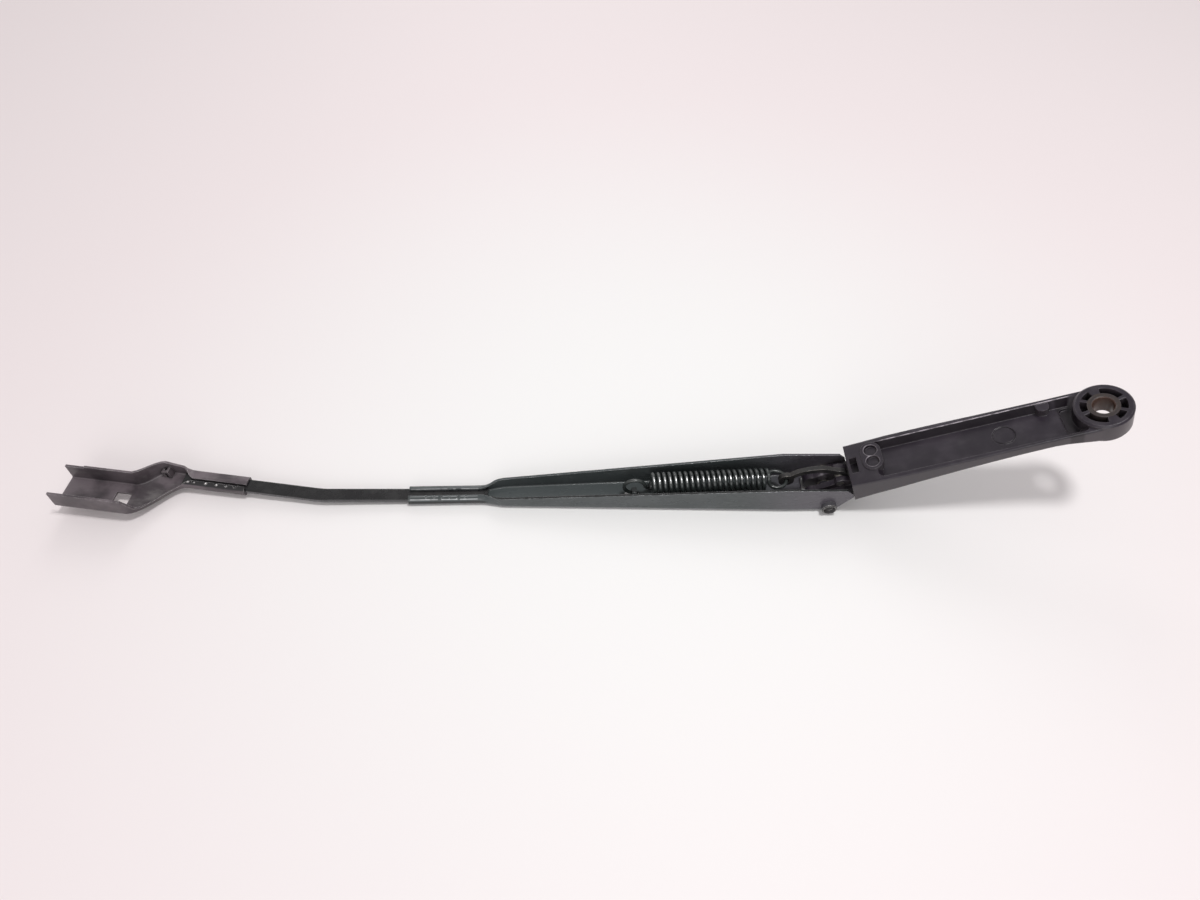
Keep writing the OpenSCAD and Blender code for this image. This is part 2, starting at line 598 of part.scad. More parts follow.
// The spring's middle line: a hook in the arm's plane, the coils, and a hook lying across it
coil_r = (spring_d - wire_d) / 2;
hook_centre = [bridge_x + bridge_wide / 2, 0, coil_r + wire_d / 2 + 1.1];
tail_centre = [eye_at[0] + 0.1 - coil_r, 0, eye_at[1] - 0.1];
coil_from = [hook_centre[0] + coil_r + 3.1, 0, 10.1];
coil_dir = unit([tail_centre[0] - coil_from[0], 0, tail_centre[2] - coil_from[2]]);
coil_up = [-coil_dir[2], 0, coil_dir[0]];
per_turn = 16;
function coil_point(i) =
    let(t = i / per_turn, a = 180 + 360 * t)
    coil_from + coil_dir * coil_len * t / turns + coil_r * (cos(a) * coil_up + sin(a) * [0, -1, 0]);
coil_count = round((turns + 0.5) * per_turn);
function on_tail(a) = tail_centre + coil_r * [cos(a), sin(a), 0];
function on_hook(a) = hook_centre + coil_r * [cos(a), 0, sin(a)];
function spring_line() =
    let(first = coil_point(0), last = coil_point(coil_count), side = on_hook(10),
        tail_a = -125, tail_in = on_tail(tail_a))
    concat(
        [for (a = [292:-12:16]) on_hook(a)],
        [for (t = [0:0.2:0.8])
            curve3(side, side - [-0.6, 0, 3.2], first - [1.4, -3, 0], first, t)],
        [for (i = [0:coil_count]) coil_point(i)],
        [for (t = [0.2:0.2:0.8])
            curve3(last, last + [0.5, -3.6, 0], tail_in + 2.8 * [sin(tail_a), -cos(tail_a), 0.6], tail_in, t)],
        [for (a = [tail_a:15:145]) on_tail(a)]);

module tension_spring() color([0.14, 0.15, 0.14]) seated() {
    line = spring_line();
    n = len(line);
    sides = 8;
    ways = [for (i = [0:n - 1]) unit(line[min(n - 1, i + 1)] - line[max(0, i - 1)])];
    normals = [for (i = 0, v = unit(cross(ways[0], [0, 1, 0])); i < n;
                    i = i + 1, v = i < n ? unit(v - (v * ways[i]) * ways[i]) : v) v];
    skin([for (i = [0:n - 1]) let(u = normals[i], w = cross(ways[i], u))
        [for (k = [0:sides - 1]) let(a = 360 * k / sides) line[i] + wire_d / 2 * (cos(a) * u + sin(a) * w)]]);
}

mounting_head();
spring_pin();
pivot_bush_near();
pivot_bush_far();
pivot_pin();
channel();
rod();
blade_holder();
spring_link();
tension_spring();
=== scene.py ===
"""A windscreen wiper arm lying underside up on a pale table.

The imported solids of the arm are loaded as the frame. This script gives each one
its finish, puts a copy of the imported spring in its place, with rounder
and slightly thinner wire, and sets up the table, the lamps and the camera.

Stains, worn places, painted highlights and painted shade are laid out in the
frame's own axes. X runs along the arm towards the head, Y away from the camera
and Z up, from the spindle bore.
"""

import json
import logging
import math
from dataclasses import dataclass, replace
from enum import Enum
from functools import reduce
from typing import Optional, Union

import bpy
from mathutils import Matrix, Vector

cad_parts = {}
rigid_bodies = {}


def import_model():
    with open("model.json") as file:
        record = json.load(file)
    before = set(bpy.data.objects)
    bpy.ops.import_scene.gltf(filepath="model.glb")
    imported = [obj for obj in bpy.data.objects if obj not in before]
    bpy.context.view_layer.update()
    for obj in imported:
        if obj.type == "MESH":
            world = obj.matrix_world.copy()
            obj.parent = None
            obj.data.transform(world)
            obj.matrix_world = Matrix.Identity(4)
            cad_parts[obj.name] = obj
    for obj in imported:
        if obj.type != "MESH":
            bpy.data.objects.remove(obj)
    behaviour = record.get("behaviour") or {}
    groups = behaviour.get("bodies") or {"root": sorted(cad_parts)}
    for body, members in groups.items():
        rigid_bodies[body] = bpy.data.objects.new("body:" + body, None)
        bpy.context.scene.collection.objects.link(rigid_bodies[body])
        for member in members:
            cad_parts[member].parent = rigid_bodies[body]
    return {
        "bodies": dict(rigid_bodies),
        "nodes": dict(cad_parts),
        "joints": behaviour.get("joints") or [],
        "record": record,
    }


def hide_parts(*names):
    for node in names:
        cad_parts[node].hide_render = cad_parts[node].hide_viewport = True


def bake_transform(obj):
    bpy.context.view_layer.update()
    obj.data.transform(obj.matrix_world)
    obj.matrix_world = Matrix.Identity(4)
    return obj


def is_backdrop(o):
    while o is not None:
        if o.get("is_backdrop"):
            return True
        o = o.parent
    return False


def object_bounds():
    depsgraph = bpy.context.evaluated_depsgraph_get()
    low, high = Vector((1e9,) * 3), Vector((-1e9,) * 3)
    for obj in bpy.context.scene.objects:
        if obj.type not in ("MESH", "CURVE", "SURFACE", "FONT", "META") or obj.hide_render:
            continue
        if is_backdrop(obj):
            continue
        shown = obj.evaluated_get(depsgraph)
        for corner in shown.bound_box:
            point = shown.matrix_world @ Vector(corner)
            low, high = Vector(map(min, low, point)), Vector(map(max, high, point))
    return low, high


LOG = logging.getLogger("wiper_arm")
MM = 0.001
REST = ("rest_place", "rest_way")
UP = Vector((0.0, 0.0, 1.0))
MERGE = 0.002 * MM
CREASE_DEG = 32.0
FLATS_WEIGHT = 80

# The Mix node's colour sockets follow those for numbers and vectors.
MIX_FIRST = 6
MIX_SECOND = 7
MIX_RESULT = 2

Colour = tuple[float, float, float]
Place = tuple[float, float, float]
Spot = tuple[float, float]
Span = tuple[float, float]
Socket = bpy.types.NodeSocket
Value = Union[Socket, float]
Tone = Union[Socket, Colour]


class Wear(Enum):
    """How much of the coating an edge has lost."""

    NONE = 0.0
    LIGHT = 0.35
    RUBBED = 0.7
    BARE = 1.0


@dataclass(frozen=True)
class Band:
    """A stretch between two limits, with a fade of the same width outside each."""

    low: float
    high: float
    soft: float


@dataclass(frozen=True)
class Pattern:
    """Noise, and the mask that is made of it.

    The scale is in cells per metre, and stretch holds factors on X, Y and Z, for
    streaks. The mask is least where the noise is low, and most where it is high.
    """

    scale: float
    detail: float = 3.0
    rough: float = 0.6
    low: float = 0.3
    high: float = 0.7
    least: float = 0.0
    most: float = 1.0
    stretch: Optional[tuple[float, float, float]] = None


class NodeBoard:
    """Short calls for laying out a material's nodes."""

    samples: int = 6
    spot_core: float = 0.55
    corner_span: Span = (0.35, 0.85)
    edge_turn: float = 0.06
    flat_turn: float = 0.001

    def __init__(self, name: str, carried: bool = False) -> None:
        """Start a material that holds only an output and a Principled shader.

        Args:
            name: The material's name.
            carried: Whether its patterns follow what is stored on the piece at rest.
        """
        self.material = bpy.data.materials.new(name)
        self.material.use_nodes = True
        self.tree = self.material.node_tree
        self.tree.nodes.clear()
        output = self.add("OutputMaterial")
        self.shader = self.add("BsdfPrincipled")
        self.plug(self.shader.outputs[0], output, "Surface")
        if carried:
            self.place, self.way = (self.stored(kept) for kept in REST)
        else:
            coordinates = self.add("TexCoord")
            self.place = coordinates.outputs["Object"]
            self.way = coordinates.outputs["Normal"]

    def add(self, kind: str, **settings: object) -> bpy.types.Node:
        """Add a node and set its properties.

        Args:
            kind: The node type, without its ShaderNode prefix.
            **settings: Properties of the node by name.

        Returns:
            The new node.
        """
        node = self.tree.nodes.new("ShaderNode" + kind)
        for name, value in settings.items():
            setattr(node, name, value)
        return node

    def plug(self, source: object, node: bpy.types.Node, socket: object) -> None:
        """Join an output to a node's input, or set the input to a plain value."""
        if isinstance(source, Socket):
            self.tree.links.new(source, node.inputs[socket])
        else:
            node.inputs[socket].default_value = source

    def stored(self, name: str) -> Socket:
        """A vector that is stored on each point of the piece."""
        return self.add("Attribute", attribute_name=name).outputs["Vector"]

    def noise(self, pattern: Pattern) -> Socket:
        """A pattern's noise on the piece, about 0.5 on average."""
        node = self.add("TexNoise")
        place = self.place
        if pattern.stretch is not None:
            mapping = self.add("Mapping")
            self.plug(place, mapping, "Vector")
            self.plug(pattern.stretch, mapping, "Scale")
            place = mapping.outputs[0]
        self.plug(place, node, "Vector")
        self.plug(pattern.scale, node, "Scale")
        self.plug(pattern.detail, node, "Detail")
        self.plug(pattern.rough, node, "Roughness")
        return node.outputs["Fac"]

    def mask(self, pattern: Pattern) -> Socket:
        """A pattern's mask on the piece."""
        limits = (pattern.low, pattern.high)
        return self.ramp(self.noise(pattern), limits, (pattern.least, pattern.most))

    def ramp(self, source: Socket, span: Span, out: Span) -> Socket:
        """Map one range onto another, clamped and eased.

        Args:
            source: The value to map.
            span: The two inputs that the range lies between.
            out: The output at each of them, and beyond it.

        Returns:
            The mapped value.
        """
        node = self.add("MapRange", interpolation_type="SMOOTHSTEP")
        self.plug(source, node, "Value")
        sockets = ("From Min", "From Max", "To Min", "To Max")
        for socket, value in zip(sockets, (*span, *out)):
            self.plug(value, node, socket)
        return node.outputs[0]

    def rise(self, source: Socket, span: Span) -> Socket:
        """0 below a span of values, and 1 above it."""
        return self.ramp(source, span, (0.0, 1.0))

    def fall(self, source: Socket, span: Span) -> Socket:
        """1 below a span of values, and 0 above it."""
        return self.ramp(source, span, (1.0, 0.0))

    def within(self, source: Socket, band: Band) -> Socket:
        """1 in a band of values, and 0 away from it."""
        rising = self.rise(source, (band.low - band.soft, band.low))
        return self.times(rising, self.fall(source, (band.high, band.high + band.soft)))

    def maths(self, operation: str, first: Value, second: Value = 0.0) -> Socket:
        """One arithmetic step on two values, clamped to 0 and 1."""
        node = self.add("Math", operation=operation, use_clamp=True)
        self.plug(first, node, 0)
        self.plug(second, node, 1)
        return node.outputs[0]

    def times(self, *masks: Value) -> Socket:
        """The product of masks."""
        return reduce(lambda product, mask: self.maths("MULTIPLY", product, mask), masks)

    def most(self, *masks: Value) -> Socket:
        """The largest of masks."""
        return reduce(lambda largest, mask: self.maths("MAXIMUM", largest, mask), masks)

    def rest_of(self, mask: Value) -> Socket:
        """1 where a mask is 0, and 0 where it is 1."""
        return self.maths("SUBTRACT", 1.0, mask)

    def vector(self, operation: str, first: object, second: object) -> bpy.types.Node:
        """One step on two vectors."""
        node = self.add("VectorMath", operation=operation)
        self.plug(first, node, 0)
        self.plug(second, node, 1)
        return node

    def distance(self, first: Socket, second: Vector) -> Socket:
        """How far two places lie apart."""
        return self.vector("DISTANCE", first, second).outputs["Value"]

    def measure(self, origin: Vector, way: Vector) -> Socket:
        """How far the shaded point lies from an origin, along a direction.

        Args:
            origin: Where the distance is zero, in the object's frame.
            way: The direction, of length 1.

        Returns:
            The signed distance in metres.
        """
        away = self.vector("SUBTRACT", self.place, origin).outputs[0]
        return self.vector("DOT_PRODUCT", away, way).outputs["Value"]

    def axes(self, lean_deg: float = 0.0) -> tuple[Socket, ...]:
        """Distances along, across and up, measured from the spindle bore.

        Args:
            lean_deg: How far the axes are tipped, with the head's end up.

        Returns:
            The three signed distances in metres.
        """
        lean = math.radians(lean_deg)
        along = Vector((math.cos(lean), 0.0, math.sin(lean)))
        across = Vector((0.0, 1.0, 0.0))
        return tuple(self.measure(Vector(), way) for way in (along, across, along.cross(across)))

    def facing(self, axis: str) -> Socket:
        """How far the surface faces along an axis at rest, from -1 to 1."""
        parts = self.add("SeparateXYZ")
        self.plug(self.way, parts, 0)
        return parts.outputs[axis]

    def spot(self, centre: Vector, radius: float) -> Socket:
        """1 round a point, fading to 0 at a radius."""
        away = self.distance(self.place, centre)
        return self.fall(away, (self.spot_core * radius, radius))

    def corner(self, reach: float) -> Socket:
        """1 deep in a corner of the piece, and 0 in the open."""
        node = self.add("AmbientOcclusion", samples=self.samples, only_local=True)
        self.plug(reach, node, "Distance")
        return self.fall(node.outputs["AO"], self.corner_span)

    def soft_edge(self, radius: float) -> Socket:
        """The surface's normal with its sharp edges rounded off."""
        node = self.add("Bevel", samples=self.samples)
        self.plug(radius, node, "Radius")
        return node.outputs[0]

    def edge_mask(self, width: float) -> Socket:
        """1 on a sharp edge, fading to 0 on the flats, over a width beside the edge."""
        plain = self.add("NewGeometry").outputs["Normal"]
        likeness = self.vector("DOT_PRODUCT", self.soft_edge(width), plain).outputs["Value"]
        return self.fall(likeness, (1.0 - self.edge_turn, 1.0 - self.flat_turn))

    def bump(self, height: Socket, strength: float, distance: float,
             normal: Optional[Socket] = None) -> Socket:
        """Relief from a height value.

        Args:
            height: The relief's height from 0 to 1.
            strength: Weight of the relief.
            distance: Height of 1, in metres.
            normal: The normal that the relief is laid over.

        Returns:
            The normal with the relief.
        """
        node = self.add("Bump")
        self.plug(strength, node, "Strength")
        self.plug(distance, node, "Distance")
        self.plug(height, node, "Height")
        if normal is not None:
            self.plug(normal, node, "Normal")
        return node.outputs[0]

    def paint(self, tone: Tone, node: bpy.types.Node, socket: object) -> None:
        """Join a colour output to a node's input, or set the input to a colour."""
        self.plug(tone if isinstance(tone, Socket) else (*tone, 1.0), node, socket)

    def blend(self, amount: Value, first: Tone, second: Tone) -> Socket:
        """Mix two colours.

        Args:
            amount: 0 for the first, 1 for the second.
            first: A colour or a colour output.
            second: A colour or a colour output.

        Returns:
            The mixed colour.
        """
        node = self.add("Mix", data_type="RGBA")
        self.plug(amount, node, "Factor")
        self.paint(first, node, MIX_FIRST)
        self.paint(second, node, MIX_SECOND)
        return node.outputs[MIX_RESULT]

    def fixed(self, **values: float) -> None:
        """Set the shader's own sockets by name, with _ for a blank."""
        for name, value in values.items():
            self.plug(value, self.shader, name.replace("_", " "))

    def finish(self, colour: Tone, rough: Value, normal: Socket) -> bpy.types.Material:
        """Join colour, roughness and normal to the shader and hand over the material."""
        self.paint(colour, self.shader, "Base Color")
        self.plug(rough, self.shader, "Roughness")
        self.plug(normal, self.shader, "Normal")
        return self.material


@dataclass(frozen=True)
class BlackCoat:
    """A dark coat over metal, dusty in places, darker in its corners from painted shade and dirt, and rubbed
    at its edges.

    In cloudy patches the colour turns to the faded one, and in smears the gloss
    turns dull and dust lies on it. Upright faces take the side colour, painted light
    where it is paler and painted shade where it is darker. Where the coat is chipped
    or rubbed through, the bare metal shows, and the painted highlights of some coats
    take the same bare colour.
    """

    name: str
    colour: Colour
    faded: Colour
    gloss: float
    dull: float
    clouds: Pattern = Pattern(38.0, 4.0, 0.6, 0.4, 0.62)
    smears: Pattern = Pattern(150.0, 5.0, 0.65, 0.48, 0.72)
    streak: Optional[tuple[float, float, float]] = None
    gloss_span: Span = (0.25, 0.75)
    dust: float = 0.12
    dust_colour: Colour = (0.20, 0.19, 0.185)
    # Painted shade and dirt deep in the corners, and painted light and shade on upright faces.
    shade_and_dirt: float = 0.0
    shade_and_dirt_reach: float = 2.5 * MM
    shade_and_dirt_colour: Colour = (0.006, 0.0055, 0.006)
    side_shading: float = 0.0
    side_shading_span: Span = (0.1, 0.55)
    side_shading_colour: Colour = (0.085, 0.083, 0.088)
    edge: Wear = Wear.LIGHT
    edge_width: float = 0.35 * MM
    chips: Pattern = Pattern(420.0, 4.0, 0.7, 0.34, 0.62)
    bare: Colour = (0.32, 0.31, 0.30)
    bare_metal: float = 0.85
    round_r: float = 0.35 * MM
    grain: float = 1800.0
    grain_weight: float = 0.6
    relief: float = 0.04 * MM
    shine: float = 0.5
    coat: float = 0.0
    coat_rough: float = 0.12
    carried: bool = False

    def material(self) -> bpy.types.Material:
        """Build the coat's nodes.

        Returns:
            The finished material.
        """
        board = NodeBoard(self.name, self.carried)
        smear = board.noise(replace(self.smears, stretch=self.streak))
        body = board.blend(board.mask(self.clouds), self.colour, self.faded)
        dusty = board.rise(smear, (self.smears.low, self.smears.high))
        body = board.blend(board.times(dusty, self.dust), body, self.dust_colour)
        # Painted shade and dirt, where the piece's own shape closes round the point.
        corner = board.corner(self.shade_and_dirt_reach)
        body = board.blend(board.times(corner, self.shade_and_dirt), body, self.shade_and_dirt_colour)
        # Upright faces take the side colour, as painted light and shade on them.
        if self.side_shading:
            upright = board.fall(board.facing("Z"), self.side_shading_span)
            body = board.blend(board.times(upright, self.side_shading), body, self.side_shading_colour)
        edges = board.times(board.edge_mask(self.edge_width), self.edge.value)
        chipped = board.times(edges, board.rest_of(corner), board.mask(self.chips))
        # The subclasses' worn places and painted highlights join the chips and take the bare colour.
        chipped = board.most(chipped, self.rubs_and_highlights(board))
        body = board.blend(chipped, self.stains_and_shading(board, body), self.bare)
        rough = board.ramp(smear, self.gloss_span, (self.gloss, self.dull))
        grain = board.noise(Pattern(self.grain))
        normal = board.bump(grain, self.grain_weight, self.relief, board.soft_edge(self.round_r))
        board.fixed(Specular_IOR_Level=self.shine, Coat_Weight=self.coat, Coat_Roughness=self.coat_rough)
        board.plug(board.times(chipped, self.bare_metal), board.shader, "Metallic")
        return board.finish(body, rough, normal)

    def stains_and_shading(self, board: NodeBoard, body: Socket) -> Socket:
        """Lay local stains and painted light and shade over the coat. A plain coat has none.

        Args:
            board: The material's nodes.
            body: The coat's colour.

        Returns:
            The colour with the stains and the painted light and shade.
        """
        return body

    def rubs_and_highlights(self, board: NodeBoard) -> Value:
        """Lay worn-through places and painted highlights away from the coat's edges. A plain coat has none.

        Args:
            board: The material's nodes.

        Returns:
            How far the bare colour is laid on, for worn places and painted highlights.
        """
        return 0.0


@dataclass(frozen=True)
class CastCoat(BlackCoat):
    """The head's coat, worn brown on the hub and rusty in the spindle bore, with painted shade behind the
    boss and on the hollow's far wall, and a painted highlight along the far rim.
    """

    tilt_deg: float = 20.0
    # The rim band is a painted highlight along the far rim's inner edge.
    rim: Band = Band(11.2 * MM, 11.45 * MM, 0.15 * MM)
    rim_length: Band = Band(-104.0 * MM, -14.0 * MM, 3.0 * MM)
    marks_at: tuple[Spot, ...] = ((-110.9 * MM, -0.9 * MM), (-110.9 * MM, 6.1 * MM))
    mark_ring: Band = Band(3.45 * MM, 3.6 * MM, 0.2 * MM)
    mark_wear: float = 0.7
    patch_at: Place = (-128.0 * MM, 2.35 * MM, -52.2 * MM)
    patch_r: float = 2.9 * MM
    patchy: Pattern = Pattern(260.0, 3.0, 0.6, 0.38, 0.60, 0.3)
    hub: Span = (7.3 * MM, 7.6 * MM)
    hub_stains: Pattern = Pattern(700.0, 4.0, 0.65, 0.3, 0.6, 0.55)
    hub_colour: Colour = (0.036, 0.027, 0.024)
    bore: Span = (5.1 * MM, 5.4 * MM)
    bore_colour: Colour = (0.062, 0.032, 0.022)
    # Painted shade in the trough behind the boss and on the hollow's far inner wall, in the shade colour
    # below.
    trough: Band = Band(-18.2 * MM, -13.4 * MM, 1.5 * MM)
    trough_top: Span = (6.5 * MM, 8.0 * MM)
    wall: Band = Band(7.9 * MM, 11.1 * MM, 0.3 * MM)
    wall_end: Span = (-25.0 * MM, -19.0 * MM)
    wall_facing: Span = (-0.7, -0.35)
    hollow_shade: Colour = (0.006, 0.0028, 0.0065)

    def rubs_and_highlights(self, board: NodeBoard) -> Socket:
        """Paint a highlight along the far rim's inner edge, and bare the metal on the rings of two ejector
        marks and on the tongue by the link.
        """
        along, across, _ = board.axes(self.tilt_deg)
        # The painted rim highlight, then the worn rings and the worn patch.
        worn = [board.times(board.within(across, self.rim), board.within(along, self.rim_length))]
        plan = self.plan(board, along, across)
        for mark_at in self.marks_at:
            away = board.distance(plan, Vector((*mark_at, 0.0)))
            worn.append(board.times(board.within(away, self.mark_ring), self.mark_wear))
        worn.append(board.spot(Vector(self.patch_at), self.patch_r))
        return board.times(board.most(*worn), board.mask(self.patchy))

    def stains_and_shading(self, board: NodeBoard, body: Socket) -> Socket:
        """Colour the hub and the bore, and paint shade in the trough behind the boss and on the hollow's far
        wall.
        """
        along, across, up = board.axes(self.tilt_deg)
        radius = board.distance(self.plan(board, along, across), Vector())
        hub = board.times(board.fall(radius, self.hub), board.mask(self.hub_stains))
        body = board.blend(hub, body, self.hub_colour)
        body = board.blend(board.fall(radius, self.bore), body, self.bore_colour)
        trough = board.times(board.within(along, self.trough), board.fall(up, self.trough_top))
        body = board.blend(trough, body, self.hollow_shade)
        wall = board.times(board.within(across, self.wall), board.fall(along, self.wall_end),
                           board.fall(board.facing("Y"), self.wall_facing))
        return board.blend(wall, body, self.hollow_shade)

    @staticmethod
    def plan(board: NodeBoard, along: Socket, across: Socket) -> Socket:
        """The place of the shaded point as seen along the spindle bore."""
        node = board.add("CombineXYZ")
        board.plug(along, node, 0)
        board.plug(across, node, 1)
        return node.outputs[0]


@dataclass(frozen=True)
class CrimpCoat(BlackCoat):
    """The channel's coat, with painted highlights in broken lines along the crimped sleeve's lips."""

    sleeve: Band = Band(-350.1 * MM, -314.6 * MM, 0.8 * MM)
    lip_top: Span = (-58.4 * MM, -57.9 * MM)
    # Painted highlight lines along the sleeve's lips.
    lines: tuple[Band, ...] = (Band(-4.6 * MM, -4.3 * MM, 0.15 * MM), Band(-3.0 * MM, -2.75 * MM, 0.15 * MM),
                               Band(2.1 * MM, 2.3 * MM, 0.15 * MM))
    dashed: Band = Band(-339.0 * MM, -323.8 * MM, 0.8 * MM)
    dashes: Pattern = Pattern(330.0, 2.0, 0.5, 0.44, 0.52, stretch=(1.0, 0.15, 0.15))
    polish: Pattern = Pattern(90.0, 3.0, 0.6, 0.35, 0.6, 0.35, 0.75)
    # The inner floor, where it faces up, is made paler.
    floor_facing: Span = (0.8, 0.95)
    floor_top: Span = (-61.3 * MM, -61.1 * MM)
    floor_paling: float = 0.7
    floor_pale_colour: Colour = (0.085, 0.098, 0.100)
    ears: Span = (-180.0 * MM, -128.0 * MM)
    ears_fade: float = 0.8
    ears_colour: Colour = (0.090, 0.080, 0.096)
    near: Span = (-1.5 * MM, 0.0)
    # Painted shade on the near rim and on the sleeve's near side, in the shaded colour.
    rim_facing: Span = (0.85, 0.95)
    rim_from: Span = (-311.0 * MM, -306.0 * MM)
    rim_top: Span = (-58.0 * MM, -57.5 * MM)
    fold: Band = Band(-359.1 * MM, -311.6 * MM, 4.0 * MM)
    fold_height: Band = Band(-61.2 * MM, -58.9 * MM, 0.3 * MM)
    fold_side: Span = (-5.15 * MM, -4.65 * MM)
    shaded: Colour = (0.008, 0.009, 0.0095)
    # Painted reflection of the table on the near lower bend.
    bend_reflection_top: Span = (-60.8 * MM, -60.0 * MM)
    bend_reflection_facing: Span = (0.1, 0.5)
    bend_reflection_colour: Colour = (0.15, 0.155, 0.16)

    def rubs_and_highlights(self, board: NodeBoard) -> Socket:
        """Paint highlights along the sleeve's lips in lines, broken where the crimping tool pressed."""
        along, across, up = board.axes()
        lines = board.most(*(board.within(across, line) for line in self.lines))
        whole = board.rest_of(board.within(along, self.dashed))
        broken = board.most(board.mask(self.dashes), whole)
        lips = board.times(board.within(along, self.sleeve), board.rise(up, self.lip_top))
        return board.times(lines, board.mask(self.polish), broken, lips)

    def stains_and_shading(self, board: NodeBoard, body: Socket) -> Socket:
        """Make the floor paler, fade the ears, paint shade on the near rim and on the sleeve's near side,
        and paint the table's reflection on the near lower bend.
        """
        along, across, up = board.axes()
        upward = board.facing("Z")
        near = board.fall(across, self.near)
        floor = board.times(board.rise(upward, self.floor_facing), board.fall(up, self.floor_top))
        body = board.blend(board.times(floor, self.floor_paling), body, self.floor_pale_colour)
        ears = board.times(board.rise(along, self.ears), self.ears_fade)
        body = board.blend(ears, body, self.ears_colour)
        rim = board.times(board.rise(upward, self.rim_facing), near,
                          board.rise(along, self.rim_from), board.rise(up, self.rim_top))
        fold = board.times(board.within(along, self.fold), board.within(up, self.fold_height),
                           board.fall(across, self.fold_side))
        body = board.blend(board.most(rim, fold), body, self.shaded)
        bend = board.times(board.fall(up, self.bend_reflection_top), near, board.fall(upward, self.bend_reflection_facing))
        return board.blend(bend, body, self.bend_reflection_colour)


@dataclass(frozen=True)
class HolderCoat(BlackCoat):
    """The blade holder's coat, black on the sleeve's near lip, with chipped stake marks.

    The places lie along the holder's own line, which starts at the rod's bend.
    """

    bend_at: Place = (-398.07 * MM, 0.0, -61.5 * MM)
    turn_deg: float = 171.5
    stakes_at: Place = (42.0 * MM, 3.3 * MM, 6.9 * MM)
    stakes: tuple[tuple[float, float], ...] = (
        (5.0 * MM, 0.75 * MM), (10.0 * MM, 0.75 * MM), (15.5 * MM, 0.8 * MM),
        (21.5 * MM, 0.95 * MM), (28.0 * MM, 0.5 * MM), (31.5 * MM, 0.95 * MM))
    flakes: Pattern = Pattern(800.0, 3.0, 0.6, 0.3, 0.5, 0.4)
    lip: Band = Band(40.0 * MM, 78.0 * MM, 3.0 * MM)
    lip_side: Band = Band(1.7 * MM, 4.7 * MM, 0.4 * MM)
    lip_top: Span = (-57.0 * MM, -56.0 * MM)
    lip_colour: Colour = (0.016, 0.015, 0.0165)

    def ways(self) -> tuple[Vector, Vector]:
        """The direction of the holder's line, and the one to its near side."""
        turn = math.radians(self.turn_deg)
        way = Vector((math.cos(turn), math.sin(turn), 0.0))
        return way, UP.cross(way)

    def rubs_and_highlights(self, board: NodeBoard) -> Socket:
        """Chip the coat at each stake mark."""
        way, side = self.ways()
        ahead, aside, above = self.stakes_at
        start = Vector(self.bend_at) + ahead * way + aside * side + above * UP
        marks = (board.spot(start + place * way, radius) for place, radius in self.stakes)
        return board.times(board.most(*marks), board.mask(self.flakes))

    def stains_and_shading(self, board: NodeBoard, body: Socket) -> Socket:
        """Blacken the sleeve's near lip."""
        way, side = self.ways()
        bend = Vector(self.bend_at)
        lip = board.times(board.within(board.measure(bend, way), self.lip),
                          board.within(board.measure(bend, side), self.lip_side),
                          board.rise(board.measure(Vector(), UP), self.lip_top))
        return board.blend(lip, body, self.lip_colour)


@dataclass(frozen=True)
class RivetCoat(BlackCoat):
    """The rivet's coat, worn dark in the dished ends and painted with the channel round its heads."""

    side_facing: Span = (0.35, 0.6)
    painted: Colour = (0.062, 0.060, 0.067)

    def stains_and_shading(self, board: NodeBoard, body: Socket) -> Socket:
        """Paint the round sides of the heads."""
        endwise = board.maths("ABSOLUTE", board.facing("Y"))
        return board.blend(board.fall(endwise, self.side_facing), body, self.painted)


@dataclass(frozen=True)
class WireCoat(BlackCoat):
    """The spring's coat, with a painted highlight on each turn where it faces up and towards the camera."""

    axis_at: Place = (-158.5 * MM, 0.0, -50.4 * MM)
    climb_deg: float = 2.6
    lean_deg: float = 20.0
    crest: Span = (6.56 * MM, 6.74 * MM)
    polish: float = 0.7
    turn_facing: Span = (0.15, 0.4)
    carried: bool = True

    def rubs_and_highlights(self, board: NodeBoard) -> Socket:
        """Paint a short highlight streak on the crest of each turn."""
        lean = math.radians(self.lean_deg)
        climb = math.radians(self.climb_deg)
        way = Vector((-math.sin(climb) * math.cos(lean), -math.sin(lean), math.cos(climb) * math.cos(lean)))
        crest = board.rise(board.measure(Vector(self.axis_at), way), self.crest)
        sideways = board.maths("ABSOLUTE", board.facing("X"))
        return board.times(crest, self.polish, board.fall(sideways, self.turn_facing))


@dataclass(frozen=True)
class BareSteel:
    """Plain steel, tarnished in patches and finely scored."""

    name: str
    colour: Colour
    tarnish: Colour
    patches: Pattern = Pattern(260.0, 5.0, 0.65, 0.42, 0.66)
    metal: Span = (0.95, 0.55)
    rough_span: Span = (0.3, 0.7)
    rough: Span = (0.36, 0.64)
    scores: Pattern = Pattern(2400.0, 2.0, 0.5)
    score_weight: float = 0.5
    relief: float = 0.03 * MM
    round_r: float = 0.25 * MM

    def material(self) -> bpy.types.Material:
        """Build the steel's nodes.

        Returns:
            The finished material.
        """
        board = NodeBoard(self.name)
        patches = board.noise(self.patches)
        span = (self.patches.low, self.patches.high)
        body = board.blend(board.rise(patches, span), self.colour, self.tarnish)
        scores = board.noise(self.scores)
        normal = board.bump(scores, self.score_weight, self.relief, board.soft_edge(self.round_r))
        board.plug(board.ramp(patches, span, self.metal), board.shader, "Metallic")
        return board.finish(body, board.ramp(patches, self.rough_span, self.rough), normal)


